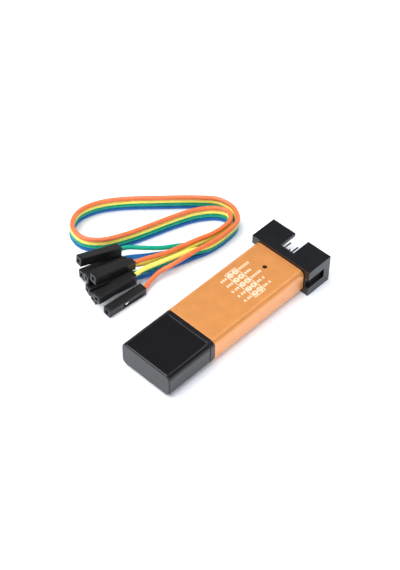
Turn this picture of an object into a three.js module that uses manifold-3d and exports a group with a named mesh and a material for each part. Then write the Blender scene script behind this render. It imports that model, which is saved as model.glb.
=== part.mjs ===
// USB microcontroller programmer: an aluminium-cased stick with a ten-way box header at one end
// and a USB-A plug under a cap at the other, and its loose set of four socket-to-socket leads.
// Millimetres, +Z up, +X towards the header. The origin is under the middle of the stick,
// on the surface that it lies on.
import * as THREE from "three";
import { mergeVertices } from "three/addons/utils/BufferGeometryUtils.js";
import Module from "manifold-3d";

const wasm = await Module();
wasm.setup();

// Driving dimensions.
const SEAM = 0.15; // visible seam between casing pieces
const FIT = 0.3; // clearance round a piece that sits inside another
const HEADER = { depth: 8.6, width: 20.2, height: 8.8, wall: 1.15, floor: 1.6 };
const NOTCH = { width: 4.5, depth: 6.1 };
const END_SLOT = { height: 3, depth: 6.2 };
const PIN = { size: 0.64, pitch: 2.54, columns: 5, rows: 2, tail: 4.4, recess: 0.8, hole: 0.94 };
const CASE = { length: 34.2, width: 16.9, height: 7.5, wall: 0.8, radius: 1.7 };
const RAIL = { inward: 0.9, thick: 0.5, setback: 0.4 };
const LED_HOLE = { diameter: 1.3, fromHeader: 5.9, side: 0.3 };
const FLANGE = 1.5;
const LUG = { inner: 6.3, outer: 7.2, halfHeight: 2.2, front: 2, rear: 3 };
const CAP = { length: 14.6, wall: 0.9, rib: 0.7, ribLevel: 1.2, corner: 0.8 };
const USB = { width: 12, height: 4.5, reach: 11.75, inside: 5.1, wall: 0.35, corner: 0.5 };
const USB_WINDOW = { length: 2.3, width: 2.5, fromTip: 5.2, offset: 3.05 };
const TONGUE = { width: 11, thick: 1.8, groove: 0.3 };
const CONTACT = { width: 1, thick: 0.25, places: [-3.5, -1, 1, 3.5] };
const BOARD = { width: 14.5, thick: 1.2, setback: 1.2 };
const SOCKET = { length: 12.7, side: 2.54, bore: 1.8, mouth: 1.1, lip: 1 };
const SOCKET_WINDOW = { at: -0.6, length: 1.7, width: 0.75 };
const TERMINAL = { side: 1.4, front: -5, rear: 4.2, bore: 0.8 };
const WIRE = { diameter: 1, pitch: 1.27, steps: 62, sides: 8 };

// Places along the stick, worked out from the dimensions above.
const STICK = HEADER.depth + CASE.length + CAP.length + FLANGE + 2 * SEAM;
const MOUTH_X = STICK / 2;
const HEADER_X = MOUTH_X - HEADER.depth;
const CASE_X = HEADER_X - CASE.length;
const FLANGE_X = CASE_X - SEAM - FLANGE;
const CAP_X = FLANGE_X - SEAM;
const CAP_END_X = CAP_X - CAP.length;
const MID_Z = HEADER.height / 2;
const USB_TIP_X = FLANGE_X - USB.reach;
const USB_REAR_X = FLANGE_X + USB.inside;
const BOARD_X = [USB_REAR_X + FIT, HEADER_X - BOARD.setback];
const BOARD_TOP = MID_Z + BOARD.thick / 2;
const PART_Z = BOARD_TOP + 0.05;

// The lead set. Each socket's middle, then its turn, pitch and roll in degrees.
// Its length runs along its own X, with the wire at the +X end and the latch window on its -Y side.
const SOCKETS = {
  green_a: [[-10.71, 36.43, 5.39], [-14.1, 10.4, 172.2]],
  blue_a: [[-11.18, 35.15, 2.08], [-11.7, 4.8, 168.9]],
  yellow_a: [[-12.44, 31.6, 4.27], [-15.4, 1.5, 183]],
  orange_a: [[-13.12, 28.47, 6.87], [-10.4, 7.5, 175.1]],
  green_b: [[-13.16, 30.34, 1.36], [-17.1, 0, 183.4]],
  blue_b: [[-14.18, 27.4, 1.63], [-13.5, -2.4, 183.8]],
  yellow_b: [[-15.39, 25.45, 4.6], [-5, -0.6, 176.5]],
  orange_b: [[-14.89, 22.32, 1.49], [-3.8, 0.5, 2.8]],
};

// The joined ribbon stands on its edge: x and y of its top wire, and how far that wire leans
// over the bottom one along +Y.
const RIBBON = [
  [17, 21.1, -0.15], [21.2, 20.7, -0.25], [24.6, 21.3, -0.15], [26.5, 23.7, -0.05],
  [25.4, 26.8, 0.05], [21.2, 30.4, 0.15], [14.5, 33.2, 0.15], [7.4, 35.4, 0.2],
  [0.5, 37.7, 0.2], [-5.7, 40.9, 0.05], [-8.7, 45.2, -0.25], [-7.6, 50.4, -0.45],
  [-3, 53.2, -0.55], [3, 52.3, -0.55], [8.9, 48.7, -0.55], [17.3, 41, -0.55],
  [24.7, 33.7, -0.55], [28.3, 28.9, -0.45], [28.6, 23.7, -0.35], [25.8, 19.7, -0.45],
  [20, 18.6, -0.55], [14, 19, -0.55],
];

// Each wire: its row in the ribbon from the bottom, and the split tails at the two ends.
const WIRES = {
  blue: {
    colour: 0x1f66b8,
    row: 0,
    a: [[-2.7, 33, 1.15], [0.8, 30.7, 0.8], [5, 28, 0.64], [8.9, 25.5, 0.64], [12.8, 23.1, 0.64]],
    b: [[9.5, 20.9, 0.64], [5.3, 22.2, 0.64], [1, 23.6, 0.75], [-3.4, 24.7, 1.05], [-6.1, 25.3, 1.6]],
  },
  green: {
    colour: 0x14a878,
    row: 1,
    a: [[-2.3, 34.1, 3.9], [0.8, 31.2, 3.5], [4.7, 28.1, 2.9], [8.9, 25.8, 2.4], [12.9, 23.3, 2]],
    b: [[10.2, 21.2, 1.9], [6.1, 22.9, 1.8], [1.4, 24.5, 1.6], [-2.9, 26, 1.4], [-5.4, 27.3, 1.32]],
  },
  yellow: {
    colour: 0xffe64a,
    row: 2,
    a: [[-5.5, 28.5, 3.7], [-3.7, 27.3, 3.4], [0.2, 25.9, 3], [4.1, 24.4, 2.85], [8, 23.3, 2.95], [11.6, 22.4, 3.15]],
    b: [[10.6, 20.8, 3.25], [6.9, 22, 3.6], [3.1, 22.8, 4], [-1.2, 23.7, 4.5], [-6.1, 24.7, 4.85]],
  },
  orange: {
    colour: 0xff7438,
    row: 3,
    a: [[-4.2, 26.8, 5.7], [-0.1, 25.6, 5.1], [3.6, 24.5, 4.7], [8.1, 23.5, 4.5], [12.5, 22.4, 4.45]],
    b: [[10.3, 19.7, 4.4], [5.1, 20.5, 4], [1.5, 21.4, 3.3], [-1.9, 22.5, 2.5], [-5.6, 22.4, 1.75]],
  },
};
const TOP_ROW = 3;
const WIRE_INSIDE = 4.5; // the wire ends this far from its socket's middle, at the crimp
const WIRE_EXIT = 6.5;

// Materials.
const finish = (color, roughness, metalness) => () =>
  new THREE.MeshStandardMaterial({ color, roughness, metalness });
const anodised = finish(0xe8964a, 0.38, 0.85);
const blackPlastic = finish(0x1c1c1f, 0.5, 0);
const tinnedSteel = finish(0xc9ccd0, 0.28, 1);
const gold = finish(0xd8b25a, 0.3, 1);
const whitePlastic = finish(0xe9e8e2, 0.5, 0);
const solderMask = finish(0x1d5c38, 0.45, 0);
const chipBlack = finish(0x17171a, 0.6, 0);
const ceramic = finish(0x9a7a58, 0.6, 0);
const ledLens = finish(0xdfe8f5, 0.3, 0);

// A closed geometry as a manifold-3d solid, and back.
function solidOf(geometry) {
  const bare = geometry.index ? geometry.toNonIndexed() : geometry.clone();
  bare.deleteAttribute("normal");
  bare.deleteAttribute("uv");
  const merged = mergeVertices(bare, 1e-4);
  return new wasm.Manifold(
    new wasm.Mesh({
      numProp: 3,
      vertProperties: merged.attributes.position.array,
      triVerts: new Uint32Array(merged.index.array),
    }),
  );
}

function geometryOf(solid) {
  const mesh = solid.getMesh();
  const geometry = new THREE.BufferGeometry();
  geometry.setAttribute("position", new THREE.BufferAttribute(mesh.vertProperties, 3));
  geometry.setIndex(new THREE.BufferAttribute(mesh.triVerts, 1));
  geometry.computeVertexNormals();
  return geometry;
}

function join(pieces) {
  return pieces.reduce((whole, piece) => whole.add(piece));
}

function cut(solid, pieces) {
  return pieces.reduce((whole, piece) => whole.subtract(piece), solid);
}

// A block between two corners.
function block(x, y, z) {
  const geometry = new THREE.BoxGeometry(x[1] - x[0], y[1] - y[0], z[1] - z[0]);
  geometry.translate((x[0] + x[1]) / 2, (y[0] + y[1]) / 2, (z[0] + z[1]) / 2);
  return solidOf(geometry);
}

// A block on the stick's middle plane, given its size across Y and its centre height.
function centredBlock(x, width, height, centreZ = MID_Z) {
  return block(x, [-width / 2, width / 2], [centreZ - height / 2, centreZ + height / 2]);
}

function roundedOutline(width, height, radius) {
  const x = width / 2 - radius;
  const y = height / 2 - radius;
  const outline = new THREE.Shape();
  outline.absarc(x, y, radius, 0, Math.PI / 2);
  outline.absarc(-x, y, radius, Math.PI / 2, Math.PI);
  outline.absarc(-x, -y, radius, Math.PI, 1.5 * Math.PI);
  outline.absarc(x, -y, radius, 1.5 * Math.PI, 2 * Math.PI);
  outline.closePath();
  return outline;
}

// An outline in the plane across the stick, swept from x0 to x1 along it.
function sweptAlong(outline, x) {
  const geometry = new THREE.ExtrudeGeometry(outline, {
    depth: x[1] - x[0],
    bevelEnabled: false,
    curveSegments: 6,
  });
  const across = new THREE.Matrix4().makeBasis(
    new THREE.Vector3(0, 1, 0),
    new THREE.Vector3(0, 0, 1),
    new THREE.Vector3(1, 0, 0),
  );
  geometry.applyMatrix4(across);
  geometry.translate(x[0], 0, MID_Z);
  return solidOf(geometry);
}

function mesh(name, solid, material) {
  const made = new THREE.Mesh(geometryOf(solid), material());
  made.name = name;
  return made;
}

// The extruded casing with its two pairs of board rails and the hole over the LED.
function shell() {
  const { width, height, wall, radius } = CASE;
  const span = [CASE_X, HEADER_X - SEAM];
  const outside = sweptAlong(roundedOutline(width, height, radius), span);
  const through = [CASE_X - 1, HEADER_X + 1];
  const inner = roundedOutline(width - 2 * wall, height - 2 * wall, radius - wall + 0.2);
  const inside = sweptAlong(inner, through);
  const railY = [width / 2 - wall - RAIL.inward, width / 2 - wall / 2];
  const railX = [BOARD_X[0], span[1] - RAIL.setback];
  const slot = BOARD.thick / 2 + FIT;
  const rails = [];
  for (const side of [-1, 1]) {
    const y = side > 0 ? railY : [-railY[1], -railY[0]];
    rails.push(block(railX, y, [MID_Z + slot, MID_Z + slot + RAIL.thick]));
    rails.push(block(railX, y, [MID_Z - slot - RAIL.thick, MID_Z - slot]));
  }
  const hole = new THREE.CylinderGeometry(LED_HOLE.diameter / 2, LED_HOLE.diameter / 2, 4, 20);
  hole.rotateX(Math.PI / 2);
  hole.translate(HEADER_X - LED_HOLE.fromHeader, LED_HOLE.side, MID_Z + height / 2);
  return cut(join([cut(outside, [inside]), ...rails]), [solidOf(hole)]);
}

// The thin black flange at the USB end, with a lug each side that locates the shell and the cap.
function frontCollar() {
  const x = [FLANGE_X, CASE_X - SEAM];
  const plate = sweptAlong(roundedOutline(CASE.width, CASE.height, CASE.radius), x);
  const plugHole = centredBlock([x[0] - 1, x[1] + 1], USB.width + 2 * FIT, USB.height + 2 * FIT);
  const lugX = [x[0] - LUG.front, x[1] + LUG.rear];
  const lugZ = [MID_Z - LUG.halfHeight, MID_Z + LUG.halfHeight];
  return join([
    cut(plate, [plugHole]),
    block(lugX, [LUG.inner, LUG.outer], lugZ),
    block(lugX, [-LUG.outer, -LUG.inner], lugZ),
  ]);
}

// The pull-off cap, with a pair of ribs each side that grip the plug.
function usbCap() {
  const { width, height, radius } = CASE;
  const outside = sweptAlong(roundedOutline(width, height, radius), [CAP_END_X, CAP_X]);
  const inner = roundedOutline(width - 2 * CAP.wall, height - 2 * CAP.wall, CAP.corner);
  const inside = sweptAlong(inner, [CAP_END_X + CAP.wall, CAP_X + 1]);
  const ribX = [CAP_END_X + CAP.wall / 2, CAP_X - LUG.front - FIT - 0.6];
  const ribY = [USB.width / 2 + FIT, width / 2 - CAP.wall / 2];
  const ribs = [];
  for (const side of [-1, 1]) {
    const level = MID_Z + side * CAP.ribLevel;
    const z = [level - CAP.rib / 2, level + CAP.rib / 2];
    ribs.push(block(ribX, ribY, z));
    ribs.push(block(ribX, [-ribY[1], -ribY[0]], z));
  }
  return join([cut(outside, [inside]), ...ribs]);
}

// The folded steel tube of the plug, with its two latch windows above and below.
function usbPlugShell() {
  const x = [USB_TIP_X, USB_REAR_X];
  const { width, height, wall } = USB;
  const outside = sweptAlong(roundedOutline(width, height, USB.corner), x);
  const bore = centredBlock([x[0] - 1, x[1] + 1], width - 2 * wall, height - 2 * wall);
  const windows = [];
  const windowX = [x[0] + USB_WINDOW.fromTip, x[0] + USB_WINDOW.fromTip + USB_WINDOW.length];
  for (const side of [-1, 1]) {
    const y = side * USB_WINDOW.offset;
    const windowY = [y - USB_WINDOW.width / 2, y + USB_WINDOW.width / 2];
    windows.push(block(windowX, windowY, [MID_Z - height, MID_Z + height]));
  }
  return cut(outside, [bore, ...windows]);
}

const TONGUE_BOTTOM = MID_Z - USB.height / 2 + USB.wall + 0.2;
const TONGUE_TOP = TONGUE_BOTTOM + TONGUE.thick;

function usbTongue() {
  const x = [USB_TIP_X + 0.4, USB_REAR_X - FIT];
  const slab = centredBlock(x, TONGUE.width, TONGUE.thick, (TONGUE_BOTTOM + TONGUE_TOP) / 2);
  const grooves = CONTACT.places.map((y) => {
    const half = CONTACT.width / 2 + 0.15;
    const z = [TONGUE_TOP - TONGUE.groove, TONGUE_TOP + 1];
    return block([x[0] + 0.8, x[1] + 1], [y - half, y + half], z);
  });
  return cut(slab, grooves);
}

// A contact spring lies in its groove, then steps up onto the board.
function usbContact(y) {
  const outer = Math.abs(y) > 2;
  const low = TONGUE_TOP - TONGUE.groove + 0.04;
  const tail = BOARD_TOP + 0.05;
  const tip = USB_TIP_X + (outer ? 1.5 : 2.5);
  const step = USB_REAR_X - 0.15;
  const profile = new THREE.Shape([
    new THREE.Vector2(tip, low),
    new THREE.Vector2(step + 0.25, low),
    new THREE.Vector2(step + 0.35, tail),
    new THREE.Vector2(BOARD_X[0] + 1.8, tail),
    new THREE.Vector2(BOARD_X[0] + 1.8, tail + CONTACT.thick),
    new THREE.Vector2(step + 0.1, tail + CONTACT.thick),
    new THREE.Vector2(step, low + CONTACT.thick),
    new THREE.Vector2(tip, low + CONTACT.thick),
  ]);
  const geometry = new THREE.ExtrudeGeometry(profile, {
    depth: CONTACT.width,
    bevelEnabled: false,
  });
  geometry.rotateX(Math.PI / 2);
  geometry.translate(0, y + CONTACT.width / 2, 0);
  return solidOf(geometry);
}

// The box header: walls round the pins, a key notch in the top wall and a slot in each end wall.
function headerHousing() {
  const { depth, width, height, wall, floor } = HEADER;
  const outside = centredBlock([HEADER_X, MOUTH_X], width, height);
  const cavityX = [HEADER_X + floor, MOUTH_X + 1];
  const cavity = centredBlock(cavityX, width - 2 * wall, height - 2 * wall);
  const notchX = [MOUTH_X - NOTCH.depth, MOUTH_X + 1];
  const notch = centredBlock(notchX, NOTCH.width, 2 * wall + 1, height);
  const slotX = [HEADER_X - 1, HEADER_X + END_SLOT.depth];
  const slots = [-1, 1].map((side) => {
    const y = [side * (width / 2 - wall - 0.01), side * (width / 2 + 1)];
    const half = END_SLOT.height / 2;
    return block(slotX, y.sort((a, b) => a - b), [MID_Z - half, MID_Z + half]);
  });
  const holes = pinPlaces().map(([y, z]) => {
    const half = PIN.hole / 2;
    const x = [HEADER_X - 1, HEADER_X + depth];
    return block(x, [y - half, y + half], [z - half, z + half]);
  });
  return cut(outside, [cavity, notch, ...slots, ...holes]);
}

function pinPlaces() {
  const places = [];
  for (let column = 0; column < PIN.columns; column++) {
    for (let row = 0; row < PIN.rows; row++) {
      const y = (column - (PIN.columns - 1) / 2) * PIN.pitch;
      places.push([y, MID_Z + (row - 0.5) * PIN.pitch]);
    }
  }
  return places;
}

// A square pin with both ends tapered: a four-sided lathe turned by 45 degrees.
function headerPin([y, z]) {
  const half = (PIN.size / 2) * Math.SQRT2;
  const end = half * 0.5;
  const from = HEADER_X - PIN.tail;
  const to = MOUTH_X - PIN.recess;
  const profile = [
    new THREE.Vector2(0, from),
    new THREE.Vector2(end, from),
    new THREE.Vector2(half, from + 0.5),
    new THREE.Vector2(half, to - 0.5),
    new THREE.Vector2(end, to),
    new THREE.Vector2(0, to),
  ];
  const geometry = new THREE.LatheGeometry(profile, 4);
  geometry.rotateY(Math.PI / 4);
  geometry.rotateZ(-Math.PI / 2);
  geometry.translate(0, y, z);
  return solidOf(geometry);
}

function circuitBoard() {
  return centredBlock(BOARD_X, BOARD.width, BOARD.thick);
}

// A board part: a block of the given size standing on the board, with optional legs.
function boardPart(x, y, size, lift = 0) {
  const bottom = PART_Z + lift;
  return block(
    [x - size[0] / 2, x + size[0] / 2],
    [y - size[1] / 2, y + size[1] / 2],
    [bottom, bottom + size[2]],
  );
}

// A flat package with gull legs: a foot on the board and a shoulder into the body, per leg.
function leggedChip(x, y, body, legs, sides) {
  const { pitch, count, width, span } = legs;
  const pieces = [boardPart(x, y, body, 0.1)];
  for (const [ux, uy] of sides) {
    for (let i = 0; i < count; i++) {
      const along = (i - (count - 1) / 2) * pitch;
      const reach = ux ? body[0] / 2 : body[1] / 2;
      const size = (length, thick) => (ux ? [length, width, thick] : [width, length, thick]);
      const place = (out) => [x + ux * out + Math.abs(uy) * along, y + uy * out + Math.abs(ux) * along];
      const foot = place(reach + span - 0.3);
      const shoulder = place(reach + span / 2 - 0.2);
      pieces.push(boardPart(foot[0], foot[1], size(0.6, 0.5)));
      pieces.push(boardPart(shoulder[0], shoulder[1], size(span, 0.2), 0.4));
    }
  }
  return join(pieces);
}

function microcontroller() {
  const legs = { pitch: 0.8, count: 8, width: 0.36, span: 1 };
  return leggedChip(4, 0, [7, 7, 1.3], legs, [[1, 0], [-1, 0], [0, 1], [0, -1]]);
}

function voltageRegulator() {
  const legs = { pitch: 0.95, count: 3, width: 0.4, span: 0.7 };
  return leggedChip(-3.4, 4.6, [2.9, 1.6, 1.1], legs, [[0, 1], [0, -1]]);
}

// Placed parts: name, x, y, size along X, Y and Z, material.
const BOARD_PARTS = [
  ["crystal", 12.2, -4.7, [5, 3.2, 1.1], tinnedSteel],
  ["status_led", HEADER_X - LED_HOLE.fromHeader, LED_HOLE.side, [2, 1.25, 0.8], ledLens],
  ["resettable_fuse", -3.4, -4.7, [3.2, 1.6, 0.7], chipBlack],
  ["capacitor_input", -3.4, 1.4, [2, 1.25, 0.8], ceramic],
  ["capacitor_output", 11, 5, [2, 1.25, 0.8], ceramic],
  ["capacitor_bypass", 14.2, 5, [2, 1.25, 0.8], ceramic],
  ["resistor_data_1", -3.4, -0.6, [1.6, 0.8, 0.5], chipBlack],
  ["resistor_data_2", -3.4, -2.4, [1.6, 0.8, 0.5], chipBlack],
  ["resistor_led", 11.2, 0, [1.6, 0.8, 0.5], chipBlack],
];

// A lead socket in its own frame: a through bore, a smaller mouth and a latch window in one side.
function leadSocket() {
  const { length, side, bore, mouth, lip } = SOCKET;
  const half = length / 2;
  const body = centredBlock([-half, half], side, side, 0);
  const cavity = centredBlock([-half + lip, half + 1], bore, bore, 0);
  const front = centredBlock([-half - 1, 0], mouth, mouth, 0);
  const { at, length: long, width } = SOCKET_WINDOW;
  const windowX = [at - long / 2, at + long / 2];
  const latch = block(windowX, [-side, 0], [-width / 2, width / 2]);
  return cut(body, [cavity, front, latch]);
}

// The crimped contact inside a socket: a square receptacle and the folded barrel.
function leadTerminal() {
  const { side, front, rear, bore } = TERMINAL;
  const receptacle = centredBlock([front, 0.8], side, side, 0);
  const barrel = centredBlock([0.4, rear], side - 0.3, side - 0.3, 0);
  const mouth = centredBlock([front - 1, -0.4], bore, bore, 0);
  return cut(join([receptacle, barrel]), [mouth]);
}

function socketFrame(key) {
  const [place, turn] = SOCKETS[key];
  const [yaw, pitch, roll] = turn.map(THREE.MathUtils.degToRad);
  const frame = new THREE.Group();
  frame.position.set(...place);
  frame.rotation.set(roll, pitch, yaw, "ZYX");
  frame.updateMatrix();
  return frame;
}

function socketPoint(key, along) {
  return new THREE.Vector3(along, 0, 0).applyMatrix4(socketFrame(key).matrix);
}

function wireRoute(name) {
  const { row, a, b } = WIRES[name];
  const point = ([x, y, z]) => new THREE.Vector3(x, y, z);
  const z = WIRE.pitch * (row + 0.5);
  const ribbon = RIBBON.map(([x, y, lean]) => point([x, y - lean * (1 - row / TOP_ROW), z]));
  return [
    socketPoint(name + "_a", WIRE_INSIDE),
    socketPoint(name + "_a", WIRE_EXIT),
    ...a.map(point),
    ...ribbon,
    ...b.map(point),
    socketPoint(name + "_b", WIRE_EXIT),
    socketPoint(name + "_b", WIRE_INSIDE),
  ];
}

function wire(name) {
  const corners = [];
  for (let i = 0; i < WIRE.sides; i++) {
    const angle = (2 * Math.PI * i) / WIRE.sides;
    corners.push(new THREE.Vector2(Math.cos(angle), Math.sin(angle)).multiplyScalar(WIRE.diameter / 2));
  }
  const geometry = new THREE.ExtrudeGeometry(new THREE.Shape(corners), {
    steps: WIRE.steps,
    extrudePath: new THREE.CatmullRomCurve3(wireRoute(name)),
  });
  return solidOf(geometry);
}

function programmer() {
  const group = new THREE.Group();
  group.add(
    mesh("shell", shell(), anodised),
    mesh("front_collar", frontCollar(), blackPlastic),
    mesh("usb_cap", usbCap(), blackPlastic),
    mesh("usb_plug_shell", usbPlugShell(), tinnedSteel),
    mesh("usb_tongue", usbTongue(), whitePlastic),
    mesh("header_housing", headerHousing(), blackPlastic),
    mesh("circuit_board", circuitBoard(), solderMask),
    mesh("microcontroller", microcontroller(), chipBlack),
    mesh("voltage_regulator", voltageRegulator(), chipBlack),
  );
  CONTACT.places.forEach((y, i) => group.add(mesh(`usb_contact_${i + 1}`, usbContact(y), gold)));
  pinPlaces().forEach((place, i) => {
    group.add(mesh(`header_pin_${i + 1}`, headerPin(place), tinnedSteel));
  });
  for (const [name, x, y, size, material] of BOARD_PARTS) {
    group.add(mesh(name, boardPart(x, y, size), material));
  }
  return group;
}

function leadSet() {
  const group = new THREE.Group();
  for (const name of Object.keys(WIRES)) {
    group.add(mesh(name + "_wire", wire(name), finish(WIRES[name].colour, 0.45, 0)));
  }
  for (const key of Object.keys(SOCKETS)) {
    const [name, end] = key.split("_");
    const frame = socketFrame(key);
    frame.add(
      mesh(`${name}_socket_${end}`, leadSocket(), blackPlastic),
      mesh(`${name}_terminal_${end}`, leadTerminal(), tinnedSteel),
    );
    group.add(frame);
  }
  return group;
}

const part = new THREE.Group();
part.add(programmer(), leadSet());

export default part;
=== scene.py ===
"""The looks of the programmer stick and its leads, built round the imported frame."""

import math

import bmesh
import bpy
from mathutils import Matrix, Vector


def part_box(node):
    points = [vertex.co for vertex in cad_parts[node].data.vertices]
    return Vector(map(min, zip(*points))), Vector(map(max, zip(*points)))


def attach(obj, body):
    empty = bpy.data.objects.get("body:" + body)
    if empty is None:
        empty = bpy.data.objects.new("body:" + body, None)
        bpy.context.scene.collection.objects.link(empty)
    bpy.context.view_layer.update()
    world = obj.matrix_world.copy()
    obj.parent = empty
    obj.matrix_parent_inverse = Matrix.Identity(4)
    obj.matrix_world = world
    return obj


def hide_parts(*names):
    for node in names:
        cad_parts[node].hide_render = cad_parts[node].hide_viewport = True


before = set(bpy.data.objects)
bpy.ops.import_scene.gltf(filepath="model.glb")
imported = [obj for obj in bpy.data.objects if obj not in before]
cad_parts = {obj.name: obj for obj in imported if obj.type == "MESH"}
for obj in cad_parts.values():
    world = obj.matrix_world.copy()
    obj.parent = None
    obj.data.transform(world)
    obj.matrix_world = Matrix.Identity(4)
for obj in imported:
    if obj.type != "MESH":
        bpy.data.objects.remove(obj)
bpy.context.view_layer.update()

MM = 0.001

# ---------------------------------------------------------------- sizes, in millimetres


def span(node, axis):
    """Where a CAD node begins and ends along an axis."""
    low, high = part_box(node)
    return tuple(round(corner["XYZ".index(axis)] / MM, 3) for corner in (low, high))


def extent(node, axis):
    """How long a CAD node is along an axis."""
    low, high = span(node, axis)
    return round(high - low, 3)


def mid(node, axis):
    """Where the middle of a CAD node is along an axis."""
    return round(sum(span(node, axis)) / 2, 3)


# The gaps at the two faces of the flange, to the cap and to the shell.
SEAM = 0.15
CASE = {
    "x": span("shell", "X"), "width": extent("shell", "Y"), "height": extent("shell", "Z"),
    "radius": 1.7, "wall": 0.8,
}
LED_HOLE = {"radius": 0.65, "chamfer": 0.07, "depth": 2}
RAIL = {"reach": 0.9, "thick": 0.5, "gap": 0.3, "short_by": 0.4}
CAP = {"x": span("usb_cap", "X"), "wall": 0.9, "corner": 0.8}
CAP_RIB = {"thick": 0.7, "level": 1.2, "gap": 0.3, "short_by": 2.9}
COLLAR_X = (CAP["x"][1] + SEAM, CASE["x"][0] - SEAM)
COLLAR_HOLE = {"gap": 0.3, "corner": 0.5}
COLLAR_LUG = {"y": (6.3, 7.2), "half": 2.2, "front": 2, "back": 3}
HEADER = {
    "x": span("header_housing", "X"), "width": extent("header_housing", "Y"),
    "height": extent("header_housing", "Z"), "wall": 1.15, "floor": 1.6,
}
NOTCH = {"depth": 6.1, "half": 2.25, "lip": 1.65}
SLOT = {"reach": 6.2, "half": 1.5}
MID_Z = mid("header_housing", "Z")
TOP_Z = MID_Z + CASE["height"] / 2
PIN = {
    "x": span("header_pin_1", "X"), "size": extent("header_pin_1", "Y"), "hole": 0.94, "pitch": 2.54,
    "columns": 5, "rows": 2,
}
USB = {
    "x": span("usb_plug_shell", "X"), "width": extent("usb_plug_shell", "Y"),
    "height": extent("usb_plug_shell", "Z"), "wall": 0.35, "corner": 0.5,
}
PLUG_WINDOW = {"x": (5.2, 7.5), "y": 3.05, "z": (1.2, 3.5), "half": 1.25, "corner": 0.25}
PLUG_SEAM = {"half": 0.05, "depth": 0.17}
GROOVE = {"start": 0.8, "half": 0.65, "depth": 0.3}
CONTACT_Y = [mid(f"usb_contact_{number}", "Y") for number in (1, 2, 3, 4)]
CONTACT = {"half": 0.5, "thick": 0.22}
BOARD_TOP = span("circuit_board", "Z")[1]
LED_PLACE = (mid("status_led", "X"), mid("status_led", "Y"))
SOCKET = {"half": 6.35, "side": 2.54, "bore": 1.8, "mouth": 1.1, "lip": 1.0}
WINDOW = {"x": (-1.55, 0.35), "half": 0.45}
LATCH = {"end": 4.9, "step": 0.16, "slit": 0.14, "root": 0.1}
DIMPLE = {"x": (-3.35, -2.75), "half": 0.35, "depth": 0.2}
TERMINAL = {"x": (-5, 0.8), "half": 0.7, "bore": 0.4, "bore_end": -0.2, "seam": 0.04}
LANCE_HALF = 0.38
WIRE_DIAMETER = 1.27

# How far a cutter stands past the face that it goes through.
PAST = 1

# ---------------------------------------------------------------- the camera

# In degrees.
VIEW = {"azimuth": -47.29, "elevation": 46.91, "roll": 1.28}
TARGET = (1.18, 10.51, 4.0)
DISTANCE = 375.04
LENS = 89.9


def place_camera():
    azimuth, elevation, roll = (math.radians(VIEW[k]) for k in ("azimuth", "elevation", "roll"))
    back = Vector((
        math.sin(azimuth) * math.cos(elevation),
        -math.cos(azimuth) * math.cos(elevation),
        math.sin(elevation),
    ))
    right = Vector((math.cos(azimuth), math.sin(azimuth), 0))
    up = back.cross(right)
    right, up = (
        math.cos(roll) * right + math.sin(roll) * up,
        -math.sin(roll) * right + math.cos(roll) * up,
    )
    data = bpy.data.cameras.new("camera")
    data.lens = LENS
    data.sensor_width = 36
    data.clip_start, data.clip_end = 0.01, 20
    camera = bpy.data.objects.new("camera", data)
    bpy.context.scene.collection.objects.link(camera)
    turned = Matrix((right, up, back)).transposed().to_4x4()
    turned.translation = (Vector(TARGET) + DISTANCE * back) * MM
    camera.matrix_world = turned
    bpy.context.scene.camera = camera


place_camera()

# ---------------------------------------------------------------- materials

# The band of a noise that a finish spreads over its whole range.
NOISE_BAND = (0.3, 0.7)
LEAST_ROUGH = 0.02


def finish(
    name, colour, rough, metallic=0.0, shade=0.12, grain=9000, depth=2e-6, patch=300, spread=0.06,
    **sockets,
):
    """A procedural finish. Grain and broad patches vary its colour and gloss, and the grain has relief.

    shade and spread say by how much, grain and patch are noise scales, and depth is in metres.
    """
    made = bpy.data.materials.new(name)
    made.use_nodes = True
    nodes, links = made.node_tree.nodes, made.node_tree.links
    shader = nodes["Principled BSDF"]
    shader.inputs["Metallic"].default_value = metallic
    for key, value in sockets.items():
        shader.inputs[key.replace("_", " ")].default_value = value
    place = nodes.new("ShaderNodeTexCoord")
    fine = nodes.new("ShaderNodeTexNoise")
    fine.inputs["Scale"].default_value = grain
    fine.inputs["Detail"].default_value = 3
    broad = nodes.new("ShaderNodeTexNoise")
    broad.inputs["Scale"].default_value = patch
    broad.inputs["Detail"].default_value = 2
    for texture in (fine, broad):
        links.new(place.outputs["Object"], texture.inputs["Vector"])
    both = nodes.new("ShaderNodeMath")
    both.operation = "MULTIPLY_ADD"
    both.inputs[1].default_value = 0.5
    links.new(fine.outputs["Fac"], both.inputs[0])
    half = nodes.new("ShaderNodeMath")
    half.operation = "MULTIPLY"
    half.inputs[1].default_value = 0.5
    links.new(broad.outputs["Fac"], half.inputs[0])
    links.new(half.outputs[0], both.inputs[2])
    ramp = nodes.new("ShaderNodeValToRGB")
    dark = [c * (1 - shade) for c in colour]
    light = [min(1, c * (1 + shade)) for c in colour]
    ramp.color_ramp.elements[0].position = NOISE_BAND[0]
    ramp.color_ramp.elements[0].color = (*dark, 1)
    ramp.color_ramp.elements[1].position = NOISE_BAND[1]
    ramp.color_ramp.elements[1].color = (*light, 1)
    links.new(both.outputs[0], ramp.inputs["Fac"])
    links.new(ramp.outputs["Color"], shader.inputs["Base Color"])
    gloss = nodes.new("ShaderNodeMapRange")
    gloss.inputs["From Min"].default_value = NOISE_BAND[0]
    gloss.inputs["From Max"].default_value = NOISE_BAND[1]
    gloss.inputs["To Min"].default_value = max(LEAST_ROUGH, rough - spread)
    gloss.inputs["To Max"].default_value = rough + spread
    links.new(both.outputs[0], gloss.inputs["Value"])
    links.new(gloss.outputs["Result"], shader.inputs["Roughness"])
    bump = nodes.new("ShaderNodeBump")
    bump.inputs["Distance"].default_value = depth
    links.new(fine.outputs["Fac"], bump.inputs["Height"])
    links.new(bump.outputs["Normal"], shader.inputs["Normal"])
    return made


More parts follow.
